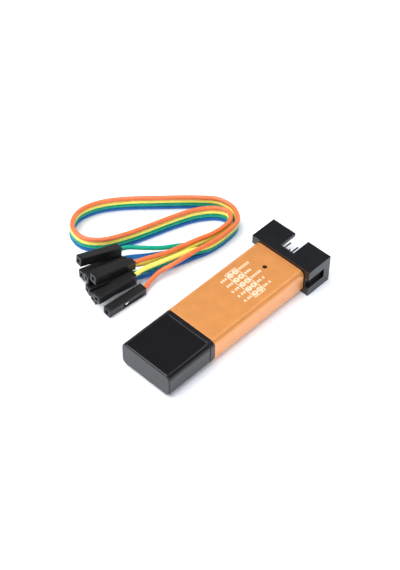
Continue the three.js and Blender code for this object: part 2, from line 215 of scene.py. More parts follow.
ANODISED = finish(
    "anodised aluminium", (0.775, 0.315, 0.087), 0.4, 0.42, shade=0.085, grain=2400, depth=1.2e-5,
    patch=260, spread=0.02, Coat_Weight=0.6, Coat_Roughness=0.25,
)
HEADER_BLACK = finish(
    "header plastic", (0.0065, 0.007, 0.009), 0.29, shade=0.15, grain=6000, depth=2e-6, spread=0.02
)
CAP_BLACK = finish(
    "cap plastic", (0.009, 0.009, 0.0108), 0.15, shade=0.1, grain=6000, depth=8e-7, patch=120,
    spread=0.012, Specular_IOR_Level=0.44,
)
COLLAR_BLACK = finish(
    "collar plastic", (0.0065, 0.0065, 0.008), 0.27, shade=0.1, grain=6000, depth=1e-6, spread=0.02
)
SOCKET_BLACK = finish(
    "socket plastic", (0.0085, 0.0085, 0.009), 0.38, shade=0.2, grain=7000, depth=4e-6,
    Specular_IOR_Level=0.35,
)
TIN = finish("tin plating", (0.86, 0.86, 0.85), 0.16, 1.0, shade=0.04, grain=5000, depth=1e-6, patch=900)
STEEL = finish("nickel plating", (0.66, 0.67, 0.69), 0.22, 1.0, shade=0.06, grain=4000, depth=1e-6)
GOLD = finish("gold flash", (0.87, 0.60, 0.22), 0.22, 1.0, shade=0.06, grain=5000, depth=1e-6)
WHITE_PLASTIC = finish("white insulator", (0.74, 0.74, 0.70), 0.4, shade=0.05, grain=6000, depth=2e-6)
MASK_GREEN = finish("solder mask", (0.012, 0.10, 0.045), 0.28, shade=0.25, grain=3000, depth=3e-6)
CHIP_BLACK = finish("chip epoxy", (0.022, 0.022, 0.024), 0.55, shade=0.25, grain=9000, depth=4e-6)
LENS_CLEAR = finish("lamp lens", (0.80, 0.86, 0.92), 0.15, shade=0.05, grain=3000, depth=1e-6)
CERAMIC = finish("capacitor ceramic", (0.36, 0.22, 0.11), 0.5, shade=0.15, grain=9000, depth=3e-6)
GLAZE = finish("resistor glaze", (0.015, 0.015, 0.018), 0.2, shade=0.2, grain=5000, depth=1e-6)
ALUMINA = finish("resistor alumina", (0.78, 0.78, 0.76), 0.5, shade=0.06, grain=9000, depth=3e-6)
FUSE_GREEN = finish("fuse coating", (0.03, 0.14, 0.06), 0.4, shade=0.2, grain=5000, depth=3e-6)
INK = finish("label ink", (0.77, 0.62, 0.43), 0.5, shade=0.03, grain=9000, depth=2e-6, patch=2500)
DIGIT_INK = finish("dark ink", (0.50, 0.26, 0.12), 0.5, shade=0.05, grain=9000, depth=2e-6, patch=2500)


def vinyl(name, colour, shine=0.4):
    return finish(
        name + " vinyl", colour, 0.27, shade=0.07, grain=2500, depth=4e-6, spread=0.04,
        Specular_IOR_Level=shine,
    )


VINYL = {
    "orange": vinyl("orange", (0.80, 0.18, 0.058)),
    "yellow": vinyl("yellow", (0.99, 0.90, 0.16)),
    "green": vinyl("green", (0.007, 0.37, 0.235), 0.25),
    "blue": vinyl("blue", (0.011, 0.14, 0.47), 0.25),
}

# ---------------------------------------------------------------- mesh helpers


def piece(name, mesh, body, nodes, slot, *materials):
    """A shown piece that rides on a body and stands for the CAD nodes named."""
    made = bpy.data.objects.new(name, mesh)
    bpy.context.scene.collection.objects.link(made)
    if not mesh.materials:
        for material in materials:
            mesh.materials.append(material)
    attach(made, body)
    if nodes:
        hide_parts(*nodes)
    return made


def weigh_normals(made):
    """Keeps flat faces flat and lets the small bevels carry the turn of the light."""
    modifier = made.modifiers.new("normals", "WEIGHTED_NORMAL")
    modifier.keep_sharp = True
    modifier.weight = 80
    return made


def mesh_of(bm, name):
    """The bmesh, whose lengths are millimetres, as a mesh in metres with smooth faces."""
    bmesh.ops.recalc_face_normals(bm, faces=bm.faces)
    bm.transform(Matrix.Scale(MM, 4))
    for face in bm.faces:
        face.smooth = True
    mesh = bpy.data.meshes.new(name)
    bm.to_mesh(mesh)
    bm.free()
    return mesh


def sharp_edges(bm, least=0.5):
    return [e for e in bm.edges if len(e.link_faces) == 2 and e.calc_face_angle(0) > least]


def bevel(bm, edges, width, segments=2):
    bmesh.ops.bevel(
        bm, geom=edges, offset=width, segments=segments, profile=0.5, affect="EDGES", clamp_overlap=True
    )


def add_box(bm, low, high, material=0):
    """A box with six faces, from its two corners."""
    xs, ys, zs = ((low[axis], high[axis]) for axis in range(3))
    corners = [bm.verts.new((x, y, z)) for x in xs for y in ys for z in zs]
    for face in ((0, 1, 3, 2), (4, 6, 7, 5), (0, 4, 5, 1), (2, 3, 7, 6), (0, 2, 6, 4), (1, 5, 7, 3)):
        bm.faces.new([corners[i] for i in face]).material_index = material


def soft_box(bm, low, high, width, segments=2, material=0):
    """A box with its edges rounded by width."""
    part = bmesh.new()
    add_box(part, low, high, material)
    bevel(part, part.edges[:], width, segments)
    for face in part.faces:
        face.material_index = material
    merge(bm, part)


def merge(bm, part, move=None):
    """Adds the faces of part to bm and frees part."""
    if move is not None:
        part.transform(move)
    placed = {v: bm.verts.new(v.co) for v in part.verts}
    for face in part.faces:
        made = bm.faces.new([placed[v] for v in face.verts])
        made.material_index = face.material_index
    part.free()


def carved(solids, cuts):
    """A bmesh of boxes joined and boxes cut away, each box given by its two corners."""
    levels = [sorted({box[i][axis] for box in solids + cuts for i in (0, 1)}) for axis in range(3)]

    def holds(box, point):
        return all(box[0][a] < point[a] < box[1][a] for a in range(3))

    def filled(cell):
        if any(not 0 <= cell[a] < len(levels[a]) - 1 for a in range(3)):
            return False
        middle = [(levels[a][cell[a]] + levels[a][cell[a] + 1]) / 2 for a in range(3)]
        return any(holds(b, middle) for b in solids) and not any(holds(b, middle) for b in cuts)

    bm = bmesh.new()
    corners = {}

    def corner(key):
        if key not in corners:
            corners[key] = bm.verts.new([levels[a][key[a]] for a in range(3)])
        return corners[key]

    counts = [range(len(level) - 1) for level in levels]
    for cell in ((i, j, k) for i in counts[0] for j in counts[1] for k in counts[2]):
        if not filled(cell):
            continue
        for axis in range(3):
            u, v = (axis + 1) % 3, (axis + 2) % 3
            for side in (0, 1):
                beside = list(cell)
                beside[axis] += 1 if side else -1
                if filled(beside):
                    continue
                ring = []
                for du, dv in ((0, 0), (1, 0), (1, 1), (0, 1)):
                    key = list(cell)
                    key[axis] += side
                    key[u] += du
                    key[v] += dv
                    ring.append(corner(tuple(key)))
                bm.faces.new(ring if side else ring[::-1])
    bmesh.ops.dissolve_limit(bm, angle_limit=0.01, verts=bm.verts, edges=bm.edges)
    return bm


def rounded(width, height, radius, steps=8):
    """Points (y, z) round a rectangle with rounded corners, about its own middle."""
    points = []
    for quarter, (sy, sz) in enumerate(((1, 1), (-1, 1), (-1, -1), (1, -1))):
        for step in range(steps + 1):
            angle = math.pi / 2 * (quarter + step / steps)
            points.append((
                sy * (width / 2 - radius) + radius * math.cos(angle),
                sz * (height / 2 - radius) + radius * math.sin(angle),
            ))
    return points


def loft(bm, rings, ends=(False, False), around=False, material=0):
    """Joins rings of the same count.

    ends says which of the first and last rings are closed, and around joins the last to the first.
    """
    rows = [[bm.verts.new(p) for p in ring] for ring in rings]
    pairs = list(zip(rows, rows[1:])) + ([(rows[-1], rows[0])] if around else [])
    for a, b in pairs:
        for i in range(len(a)):
            j = (i + 1) % len(a)
            bm.faces.new((a[i], a[j], b[j], b[i])).material_index = material
    for closed, row in zip(ends, (rows[0], rows[-1])):
        if closed:
            bm.faces.new(row).material_index = material


def along_x(x, outline, centre=(0, MID_Z)):
    return [(x, centre[0] + y, centre[1] + z) for y, z in outline]


def rim(x, inward, radius, steps=4):
    """Stations (x, inset) that round an outer edge at x, from the end face to the side."""
    stations = []
    for step in range(steps + 1):
        angle = math.pi / 2 * step / steps
        stations.append((x + inward * radius * (1 - math.sin(angle)), radius * (1 - math.cos(angle))))
    return stations[::-1]


LEAST_CORNER = 0.05


def skin(x, width, height, corner, rims, grow=1, centre=(0, MID_Z)):
    """Rings from one rounded end to the other. grow is 1 for an outside and -1 for a bore."""
    rings = []
    stations = rim(x[0], 1, rims[0]) + rim(x[1], -1, rims[1])[::-1]
    for place, inset in stations:
        size = -2 * grow * inset
        radius = max(LEAST_CORNER, corner - grow * inset)
        rings.append(along_x(place, rounded(width + size, height + size, radius), centre))
    return rings


def cut_by(target, cutter):
    """Cuts the cutter's mesh out of the target's, and removes the cutter."""
    modifier = target.modifiers.new("cut", "BOOLEAN")
    modifier.operation = "DIFFERENCE"
    modifier.solver = "EXACT"
    modifier.object = cutter
    graph = bpy.context.evaluated_depsgraph_get()
    cut = bpy.data.meshes.new_from_object(target.evaluated_get(graph), depsgraph=graph)
    target.modifiers.remove(modifier)
    target.data = cut
    for polygon in cut.polygons:
        polygon.use_smooth = True
    bpy.data.objects.remove(cutter)


def loose(mesh, name="cutter"):
    made = bpy.data.objects.new(name, mesh)
    bpy.context.scene.collection.objects.link(made)
    return made


def lathe_z(bm, profile, centre, steps, material=0):
    """A turned solid on a vertical axis. profile holds (radius, height) from the bottom up."""
    rings = []
    for radius, height in profile:
        rings.append([
            (
                centre[0] + radius * math.cos(2 * math.pi * i / steps),
                centre[1] + radius * math.sin(2 * math.pi * i / steps),
                height,
            )
            for i in range(steps)
        ])
    loft(bm, rings, ends=(True, True), material=material)


# ---------------------------------------------------------------- the leads

# Each socket's middle, then its turn, pitch and roll in degrees.
SOCKETS = {
    "green_a": ((-10.71, 36.43, 5.39), (-14.1, 10.4, 172.2)),
    "blue_a": ((-11.18, 35.15, 2.08), (-11.7, 4.8, 168.9)),
    "yellow_a": ((-12.44, 31.6, 4.27), (-15.4, 1.5, 183)),
    "orange_a": ((-13.12, 28.47, 6.87), (-10.4, 7.5, 175.1)),
    "green_b": ((-13.16, 30.34, 1.36), (-17.1, 0, 183.4)),
    "blue_b": ((-14.18, 27.4, 1.63), (-13.5, -2.4, 183.8)),
    "yellow_b": ((-15.39, 25.45, 4.6), (-5, -0.6, 176.5)),
    "orange_b": ((-14.89, 22.32, 1.49), (-3.8, 0.5, 2.8)),
}

# The joined ribbon: x and y of its top wire, and how far that leans over the bottom one.
RIBBON = [
    (17, 21.1, -0.15), (21.2, 20.7, -0.25), (24.6, 21.3, -0.15), (26.5, 23.7, -0.05),
    (25.4, 26.8, 0.05), (21.2, 30.4, 0.15), (14.5, 33.2, 0.15), (7.4, 35.4, 0.2),
    (0.5, 37.7, 0.2), (-5.7, 40.9, 0.05), (-8.7, 45.2, -0.25), (-7.6, 50.4, -0.45),
    (-3, 53.2, -0.55), (3, 52.3, -0.55), (8.9, 48.7, -0.55), (17.3, 41, -0.55),
    (24.7, 33.7, -0.55), (28.3, 28.9, -0.45), (28.6, 23.7, -0.35), (25.8, 19.7, -0.45),
    (20, 18.6, -0.55), (14, 19, -0.55),
]

# Each wire: its row from the bottom, then the split tails at its two ends.
WIRES = {
    "blue": (
        0,
        [(-2.7, 33, 1.15), (0.8, 30.7, 0.8), (5, 28, 0.64), (8.9, 25.5, 0.64), (12.8, 23.1, 0.64)],
        [(9.5, 20.9, 0.64), (5.3, 22.2, 0.64), (1, 23.6, 0.75), (-3.4, 24.7, 1.05), (-6.1, 25.3, 1.6)],
    ),
    "green": (
        1,
        [(-2.3, 34.1, 3.9), (0.8, 31.2, 3.5), (4.7, 28.1, 2.9), (8.9, 25.8, 2.4), (12.9, 23.3, 2)],
        [(10.2, 21.2, 1.9), (6.1, 22.9, 1.8), (1.4, 24.5, 1.6), (-2.9, 26, 1.4), (-5.4, 27.3, 1.32)],
    ),
    "yellow": (
        2,
        [
            (-5.5, 28.5, 3.7), (-3.7, 27.3, 3.4), (0.2, 25.9, 3), (4.1, 24.4, 2.85), (8, 23.3, 2.95),
            (11.6, 22.4, 3.15),
        ],
        [(10.6, 20.8, 3.25), (6.9, 22, 3.6), (3.1, 22.8, 4), (-1.2, 23.7, 4.5), (-6.1, 24.7, 4.85)],
    ),
    "orange": (
        3,
        [(-4.2, 26.8, 5.7), (-0.1, 25.6, 5.1), (3.6, 24.5, 4.7), (8.1, 23.5, 4.5), (12.5, 22.4, 4.45)],
        [(10.3, 19.7, 4.4), (5.1, 20.5, 4), (1.5, 21.4, 3.3), (-1.9, 22.5, 2.5), (-5.6, 22.4, 1.75)],
    ),
}
TOP_ROW = 3
ROW_PITCH = 1.27
WIRE_ENDS = (4.5, 6.5)
STEPS_BETWEEN = 9


def socket_frame(key):
    """Where a socket's own frame lies, in millimetres."""
    middle, (turn, pitch, roll) = SOCKETS[key]
    turned = (
        Matrix.Rotation(math.radians(turn), 4, "Z")
        @ Matrix.Rotation(math.radians(pitch), 4, "Y")
        @ Matrix.Rotation(math.radians(roll), 4, "X")
    )
    return Matrix.Translation(middle) @ turned


def wire_route(name):
    row, a, b = WIRES[name]
    height = ROW_PITCH * (row + 0.5)
    inner = [socket_frame(name + "_a") @ Vector((x, 0, 0)) for x in WIRE_ENDS]
    outer = [socket_frame(name + "_b") @ Vector((x, 0, 0)) for x in WIRE_ENDS[::-1]]
    ribbon = [Vector((x, y - lean * (1 - row / TOP_ROW), height)) for x, y, lean in RIBBON]
    return inner + [Vector(p) for p in a] + ribbon + [Vector(p) for p in b] + outer


def smooth_line(points, steps=STEPS_BETWEEN):
    """A centripetal Catmull-Rom line through the points."""
    line = []
    for i in range(len(points) - 1):
        p1, p2 = points[i], points[i + 1]
        p0 = points[i - 1] if i else 2 * p1 - p2
        p3 = points[i + 2] if i + 2 < len(points) else 2 * p2 - p1
        d0, d1, d2 = ((b - a).length ** 0.5 for a, b in ((p0, p1), (p1, p2), (p2, p3)))
        t1 = ((p1 - p0) / d0 - (p2 - p0) / (d0 + d1) + (p2 - p1) / d1) * d1
        t2 = ((p2 - p1) / d1 - (p3 - p1) / (d1 + d2) + (p3 - p2) / d2) * d1
        for step in range(steps):
            t = step / steps
            line.append(
                p1 + t1 * t + (3 * (p2 - p1) - 2 * t1 - t2) * t * t + (2 * (p1 - p2) + t1 + t2) * t ** 3
            )
    return line + [points[-1]]


def lead_wire(name):
    curve = bpy.data.curves.new(name + "_lead", "CURVE")
    curve.dimensions = "3D"
    line = smooth_line(wire_route(name))
    spline = curve.splines.new("POLY")
    spline.points.add(len(line) - 1)
    for point, place in zip(spline.points, line):
        point.co = (*(place * MM), 1)
    spline.use_smooth = True
    curve.bevel_depth = WIRE_DIAMETER / 2 * MM
    curve.bevel_resolution = 6
    curve.use_fill_caps = True
    curve.materials.append(VINYL[name])
    made = bpy.data.objects.new(name + "_lead", curve)
    bpy.context.scene.collection.objects.link(made)
    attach(made, "lead_set")
    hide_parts(name + "_wire")
    return made, line


def socket_mesh():
    """The moulded socket: a chamfered mouth, a latch tongue behind its window, and a dimple opposite."""
    half, side = SOCKET["half"], SOCKET["side"] / 2
    bore, mouth = SOCKET["bore"] / 2, SOCKET["mouth"] / 2
    (start, end), opening = WINDOW["x"], WINDOW["half"]
    solids = [((-half, -side, -side), (half, side, side))]
    cuts = [
        ((-half + SOCKET["lip"], -bore, -bore), (half + PAST, bore, bore)),
        ((-half - PAST, -mouth, -mouth), (0, mouth, mouth)),
        ((start, -side - PAST, -opening), (end, 0, opening)),
        ((end, -side - PAST, -opening), (LATCH["end"], -side + LATCH["step"], opening)),
        (
            (DIMPLE["x"][0], side - DIMPLE["depth"], -DIMPLE["half"]),
            (DIMPLE["x"][1], side + PAST, DIMPLE["half"]),
        ),
    ]
    for sign in (-1, 1):
        slit = sorted((sign * opening, sign * (opening + LATCH["slit"])))
        cuts.append(((end, -side - PAST, slit[0]), (LATCH["end"], -bore + LATCH["root"], slit[1])))
    bm = carved(solids, cuts)

    def outer(edge):
        middle = (edge.verts[0].co + edge.verts[1].co) / 2
        on = (abs(abs(middle.x) - half) < 1e-4) + (abs(abs(middle.y) - side) < 1e-4)
        return on + (abs(abs(middle.z) - side) < 1e-4) >= 2

    def at_mouth(edge):
        places = [v.co for v in edge.verts]
        in_face = all(abs(place.x + half) < 1e-4 for place in places)
        return in_face and all(max(abs(place.y), abs(place.z)) < mouth + 1e-4 for place in places)

    bevel(bm, [e for e in sharp_edges(bm) if at_mouth(e)], 0.2, 1)
    bevel(bm, [e for e in sharp_edges(bm, 1.2) if outer(e)], 0.1, 2)
    return mesh_of(bm, "lead_socket")


def terminal_mesh():
    """The folded contact: a receptacle with a seam, its sprung lance, and a rolled crimp barrel."""
    (x0, x1), half = TERMINAL["x"], TERMINAL["half"]
    bore, seam = TERMINAL["bore"], TERMINAL["seam"]
    bm = carved(
        [((x0, -half, -half), (x1, half, half))],
        [
            ((x0 - PAST, -bore, -bore), (TERMINAL["bore_end"], bore, bore)),
            ((x0 - PAST, -seam, 0), (x1 + PAST, seam, PAST)),
        ],
    )
    bevel(bm, sharp_edges(bm, 1.2), 0.05, 1)
    lance = ((-1.4, -0.68), (-0.7, -1.12), (0.2, -1.2), (0.2, -1.1), (-0.65, -1.02), (-1.2, -0.62))
    sides = [[(x, y, z) for x, y in lance] for z in (-LANCE_HALF, LANCE_HALF)]
    loft(bm, sides, ends=(True, True))
    barrel = (
        (0.7, 0.55), (1.1, 0.5), (1.5, 0.42), (2.3, 0.42), (2.6, 0.5), (2.9, 0.55), (4.2, 0.55),
    )
    outline = rounded(2, 2, 0.75, 5)
    loft(bm, [[(x, y * size, z * size) for y, z in outline] for x, size in barrel], ends=(True, True))
    return mesh_of(bm, "lead_terminal")


def build_leads():
    socket, terminal = socket_mesh(), terminal_mesh()
    for name in WIRES:
        wire, line = lead_wire(name)
        for end in "ab":
            place = socket_frame(name + "_" + end)
            in_metres = Matrix.Scale(MM, 4) @ place @ Matrix.Scale(1 / MM, 4)
            for kind, mesh, slot, material in (
                ("socket", socket, "socket_plastic", SOCKET_BLACK),
                ("terminal", terminal, "crimp_terminal", TIN),
            ):
                made = bpy.data.objects.new(f"{name}_{kind}_{end}_body", mesh)
                bpy.context.scene.collection.objects.link(made)
                made.matrix_world = in_metres
                if not mesh.materials:
                    mesh.materials.append(material)
                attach(made, "lead_set")
                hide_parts(f"{name}_{kind}_{end}")
                weigh_normals(made)


build_leads()

# ---------------------------------------------------------------- the casing


def led_hole():
    """The cutter for the hole over the lamp, whose edge is broken."""
    radius, chamfer, past = LED_HOLE["radius"], LED_HOLE["chamfer"], 0.1
    profile = [
        (radius, TOP_Z - LED_HOLE["depth"]), (radius, TOP_Z - chamfer), (radius + chamfer, TOP_Z),
        (radius + chamfer + past, TOP_Z + past),
    ]
    bm = bmesh.new()
    lathe_z(bm, profile, LED_PLACE, 48)
    return loose(mesh_of(bm, "led_hole"))


def add_rails(bm):
    """The two pairs of rails inside the shell that hold the board by its edges."""
    bottom, top = span("circuit_board", "Z")
    near, far = RAIL["gap"], RAIL["gap"] + RAIL["thick"]
    y = (CASE["width"] / 2 - CASE["wall"] - RAIL["reach"], (CASE["width"] - CASE["wall"]) / 2)
    x = (span("circuit_board", "X")[0], CASE["x"][1] - RAIL["short_by"])
    for side in (-1, 1):
        across = sorted((side * y[0], side * y[1]))
        for z in ((top + near, top + far), (bottom - far, bottom - near)):
            soft_box(bm, (x[0], across[0], z[0]), (x[1], across[1], z[1]), 0.06)


def build_shell():
    width, height, radius, wall = (CASE[k] for k in ("width", "height", "radius", "wall"))
    bm = bmesh.new()
    outside = skin(CASE["x"], width, height, radius, (0.12, 0.12))
    inner = (width - 2 * wall, height - 2 * wall, radius - wall + 0.2)
    inside = skin(CASE["x"], *inner, (0.08, 0.08), grow=-1)
    loft(bm, outside + inside[::-1], around=True)
    mesh = mesh_of(bm, "case_shell")
    shell = piece("case_shell", mesh, "programmer", ["shell"], "anodised_case", ANODISED)
    cut_by(shell, led_hole())
    whole = bmesh.new()
    whole.from_mesh(shell.data)
    whole.transform(Matrix.Scale(1 / MM, 4))
    add_rails(whole)
    old = shell.data
    shell.data = mesh_of(whole, "case_shell")
    shell.data.materials.append(ANODISED)
    bpy.data.meshes.remove(old)
    weigh_normals(shell)


def build_cap():
    width, height, wall = CASE["width"], CASE["height"], CAP["wall"]
    bm = bmesh.new()
    outside = skin(CAP["x"], width, height, CASE["radius"], (0.45, 0.18))
    hollow = ((CAP["x"][0] + wall, CAP["x"][1]), width - 2 * wall, height - 2 * wall, CAP["corner"])
    inside = skin(*hollow, (0.1, 0.12), grow=1)
    mouth = skin(*hollow, (0.1, 0.12), grow=-1)
    half = len(inside) // 2
    loft(bm, outside + mouth[half:][::-1] + inside[:half][::-1], ends=(True, True))
    x = (CAP["x"][0] + wall / 2, CAP["x"][1] - CAP_RIB["short_by"])
    y = (USB["width"] / 2 + CAP_RIB["gap"], width / 2 - wall / 2)
    for side in (-1, 1):
        across = sorted((side * y[0], side * y[1]))
        for level in (-1, 1):
            z = MID_Z + level * CAP_RIB["level"]
            thick = CAP_RIB["thick"] / 2
            soft_box(bm, (x[0], across[0], z - thick), (x[1], across[1], z + thick), 0.12)
    cap = piece("pull_off_cap", mesh_of(bm, "pull_off_cap"), "cap", ["usb_cap"], "black_cap", CAP_BLACK)
    weigh_normals(cap)


def build_collar():
    width, height, radius = CASE["width"], CASE["height"], CASE["radius"]
    bm = bmesh.new()
    outside = skin(COLLAR_X, width, height, radius, (0.2, 0.1))
    gap = 2 * COLLAR_HOLE["gap"]
    hole = (USB["width"] + gap, USB["height"] + gap, COLLAR_HOLE["corner"])
    inside = skin(COLLAR_X, *hole, (0.08, 0.08), grow=-1)
    loft(bm, outside + inside[::-1], around=True)
    x = (COLLAR_X[0] - COLLAR_LUG["front"], COLLAR_X[1] + COLLAR_LUG["back"])
    z = (MID_Z - COLLAR_LUG["half"], MID_Z + COLLAR_LUG["half"])
    for side in (-1, 1):
        across = sorted(side * y for y in COLLAR_LUG["y"])
        soft_box(bm, (x[0], across[0], z[0]), (x[1], across[1], z[1]), 0.15)
    mesh = mesh_of(bm, "front_flange")
    collar = piece("front_flange", mesh, "programmer", ["front_collar"], "black_plastic", COLLAR_BLACK)
    weigh_normals(collar)


build_shell()
build_cap()
build_collar()

# ---------------------------------------------------------------- the box header


def pin_places():
    """Where the pins stand (y, z), in the order of their numbers."""
    return [
        ((column - (PIN["columns"] - 1) / 2) * PIN["pitch"], MID_Z + (row - 0.5) * PIN["pitch"])
        for column in range(PIN["columns"])
        for row in range(PIN["rows"])
    ]


def build_header():
    x0, x1 = HEADER["x"]
    y1, z1 = HEADER["width"] / 2, HEADER["height"]
    wall = HEADER["wall"]
    cuts = [
        ((x0 + HEADER["floor"], -y1 + wall, wall), (x1 + PAST, y1 - wall, z1 - wall)),
        (
            (x1 - NOTCH["depth"], -NOTCH["half"], z1 - NOTCH["lip"]),
            (x1 + PAST, NOTCH["half"], z1 + PAST),
        ),
    ]
    for side in (-1, 1):
        across = sorted((side * (y1 - wall - 0.01), side * (y1 + PAST)))
        low = (x0 - PAST, across[0], MID_Z - SLOT["half"])
        cuts.append((low, (x0 + SLOT["reach"], across[1], MID_Z + SLOT["half"])))
    half = PIN["hole"] / 2
    for y, z in pin_places():
        low = (x0 - PAST, y - half, z - half)
        cuts.append((low, (x0 + HEADER["floor"] + PAST, y + half, z + half)))
    bm = carved([((x0, -y1, 0), (x1, y1, z1))], cuts)

    def of_pin_hole(edge):
        place = (edge.verts[0].co + edge.verts[1].co) / 2
        return any(max(abs(place.y - y), abs(place.z - z)) < 0.6 for y, z in pin_places())

    bevel(bm, [e for e in sharp_edges(bm, 1.2) if not of_pin_hole(e)], 0.1, 2)
    mesh = mesh_of(bm, "box_header")
    header = piece("box_header", mesh, "programmer", ["header_housing"], "header_plastic", HEADER_BLACK)
    weigh_normals(header)


def build_pins():
    """Square pins, whose two ends taper by the shares given."""
    size = PIN["size"]
    x0, x1 = PIN["x"]
    stations = (
        (x0, 0.45), (x0 + 0.12, 0.6), (x0 + 0.55, 1), (x1 - 0.6, 1), (x1 - 0.15, 0.62),
        (x1 - 0.03, 0.5), (x1, 0.38),
    )
    for number, place in enumerate(pin_places(), 1):
        name = f"box_pin_{number}"
        rings = []
        for x, share in stations:
            rings.append(along_x(x, rounded(size * share, size * share, 0.09 * share, 3), place))
        bm = bmesh.new()
        loft(bm, rings, ends=(True, True))
        node = f"header_pin_{number}"
        weigh_normals(piece(name, mesh_of(bm, name), "programmer", [node], "header_pin", TIN))


build_header()
build_pins()

# ---------------------------------------------------------------- the plug


def plug_cuts():
    """The cutter for the four latch windows and the seam of the plug's tube."""
    x0 = USB["x"][0]
    x = [x0 + reach for reach in PLUG_WINDOW["x"]]
    half, (near, far) = PLUG_WINDOW["half"], PLUG_WINDOW["z"]
    bm = bmesh.new()
    for side in (-1, 1):
        y = side * PLUG_WINDOW["y"]
        for z in ((MID_Z + near, MID_Z + far), (MID_Z - far, MID_Z - near)):
            part = bmesh.new()
            add_box(part, (x[0], y - half, z[0]), (x[1], y + half, z[1]))
            upright = [e for e in part.edges if abs(e.verts[0].co.z - e.verts[1].co.z) > 1]
            bevel(part, upright, PLUG_WINDOW["corner"], 3)
            merge(bm, part)
    half, bottom = PLUG_SEAM["half"], span("usb_plug_shell", "Z")[0]
    low = (x0 - PAST, -half, bottom - PAST)
    add_box(bm, low, (USB["x"][1] + PAST, half, bottom + PLUG_SEAM["depth"]))
    return loose(mesh_of(bm, "plug_cuts"))


def build_plug_tube():
    width, height, wall, corner = (USB[k] for k in ("width", "height", "wall", "corner"))
    outside = skin(USB["x"], width, height, corner, (0.14, 0.06))
    inner = (width - 2 * wall, height - 2 * wall, corner - wall + 0.05)
    inside = skin(USB["x"], *inner, (0.1, 0.05), grow=-1)
    bm = bmesh.new()
    loft(bm, outside + inside[::-1], around=True)
    mesh = mesh_of(bm, "plug_tube")
    plug = piece("plug_tube", mesh, "programmer", ["usb_plug_shell"], "plug_steel", STEEL)
    cut_by(plug, plug_cuts())
    plug.data.materials.clear()
    plug.data.materials.append(STEEL)
    weigh_normals(plug)


def build_tongue():
    """The insulator, with a groove for each contact."""
    (tip, rear), (bottom, top) = span("usb_tongue", "X"), span("usb_tongue", "Z")
    half = extent("usb_tongue", "Y") / 2
    cuts = []
    for y in CONTACT_Y:
        low = (tip + GROOVE["start"], y - GROOVE["half"], top - GROOVE["depth"])
        cuts.append((low, (rear + PAST, y + GROOVE["half"], top + PAST)))
    bm = carved([((tip, -half, bottom), (rear, half, top))], cuts)
    bevel(bm, sharp_edges(bm, 1.2), 0.07, 2)
    mesh = mesh_of(bm, "plug_tongue")
    tongue = piece("plug_tongue", mesh, "programmer", ["usb_tongue"], "white_plastic", WHITE_PLASTIC)
    weigh_normals(tongue)


def build_contacts():
    """Springs that bow up at the tip, run back in their grooves and step up to the board."""
    rear, low = span("usb_tongue", "X")[1], span("usb_tongue", "Z")[1] - 0.26
    half, thick = CONTACT["half"], CONTACT["thick"]
    for number, y in enumerate(CONTACT_Y, 1):
        node = f"usb_contact_{number}"
        tip = span(node, "X")[0]
        line = [
            (tip, low), (tip + 0.7, low + 0.05), (tip + 1.6, low + 0.13), (tip + 2.8, low + 0.05),
            (tip + 3.6, low), (rear, low), (rear + 0.15, low + 0.05), (rear + 0.4, BOARD_TOP),
            (rear + 0.55, BOARD_TOP + 0.05), (rear + 2.4, BOARD_TOP + 0.05),
        ]
        rings = []
        for x, z in line:
            section = ((y - half, z), (y + half, z), (y + half, z + thick), (y - half, z + thick))
            rings.append([(x, *corner) for corner in section])
        bm = bmesh.new()
        loft(bm, rings, ends=(True, True))
        long_edges = [e for e in sharp_edges(bm, 1.2) if e.verts[0].co.x != e.verts[1].co.x]
        bevel(bm, long_edges, 0.05, 1)
        name = f"plug_contact_{number}"
        weigh_normals(piece(name, mesh_of(bm, name), "programmer", [node], "gold_contact", GOLD))


build_plug_tube()
build_tongue()
build_contacts()

# ---------------------------------------------------------------- the board and what is on it

# The height of the parts' feet, a little clear of the board.
PART_Z = span("microcontroller", "Z")[0]
PLUG_PAD = {"from_end": 1.1, "size": (1.8, 1.3)}
HEADER_PAD = {"from_end": 1.6, "size": (2.6, 1.5)}
VIAS = ((-6, 0), (-1, 5.6), (-0.6, -5.9), (8.9, 5.4), (9.2, -6), (13.5, 2.4), (15.6, -2.6), (7.9, 6.3))
VIA = {"ring": 0.3, "hole": 0.14}


def fitted(name, bm, slot, *materials):
    """A board part that stands for the CAD node of the same name."""
    made = piece(name + "_part", mesh_of(bm, name + "_part"), "programmer", [name], slot, *materials)
    return weigh_normals(made)


def pad(bm, x, y, size):
    """A plated pad that stands a little proud of the board."""
    low = (x - size[0] / 2, y - size[1] / 2, BOARD_TOP - 0.02)
    soft_box(bm, low, (x + size[0] / 2, y + size[1] / 2, BOARD_TOP + 0.03), 0.01, 1, 1)


def build_board():
    """The board, with its pads for the plug and the header, and its plated through holes."""
    bm = bmesh.new()
    (x0, x1), (bottom, top) = span("circuit_board", "X"), span("circuit_board", "Z")
    half = extent("circuit_board", "Y") / 2
    soft_box(bm, (x0, -half, bottom), (x1, half, top), 0.06, 1)
    for y in CONTACT_Y:
        pad(bm, x0 + PLUG_PAD["from_end"], y, PLUG_PAD["size"])
    for column in range(PIN["columns"]):
        y = (column - (PIN["columns"] - 1) / 2) * PIN["pitch"]
        pad(bm, x1 - HEADER_PAD["from_end"], y, HEADER_PAD["size"])
    for place in VIAS:
        lathe_z(bm, [(VIA["ring"], top - 0.02), (VIA["ring"], top + 0.02)], place, 20, 1)
        lathe_z(bm, [(VIA["hole"], top), (VIA["hole"], top + 0.025)], place, 16, 0)
    fitted("circuit_board", bm, "circuit_board", MASK_GREEN, GOLD)


